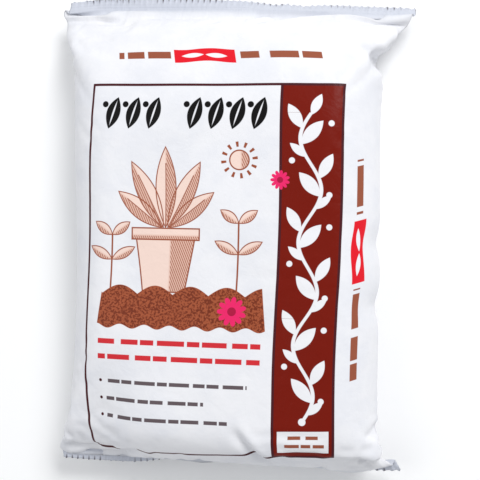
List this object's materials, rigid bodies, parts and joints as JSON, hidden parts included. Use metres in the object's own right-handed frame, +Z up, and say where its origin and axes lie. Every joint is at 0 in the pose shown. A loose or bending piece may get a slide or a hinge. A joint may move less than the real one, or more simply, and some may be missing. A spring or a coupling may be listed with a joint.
{
  "type": "bag of garden soil",
  "caption": "Sealed pillow bag of printed white plastic film, filled with garden soil, lying flat on its back with a heat seal at each end",
  "frame": {"origin": "On the ground, under the centre of the bag's outline.", "axes": "+Z up, out of the printed face; +Y along the bag's length towards its top seal; +X to the right of a person who reads the printed face."},
  "size_m": [0.43, 0.57, 0.12],
  "materials": {
    "film": "thin white polyethylene film with a soft gloss, printed in black, dark brown, sienna, red and pink"
  },
  "bodies": {
    "root": {"filled_bag": "film"}
  },
  "joints": []
}
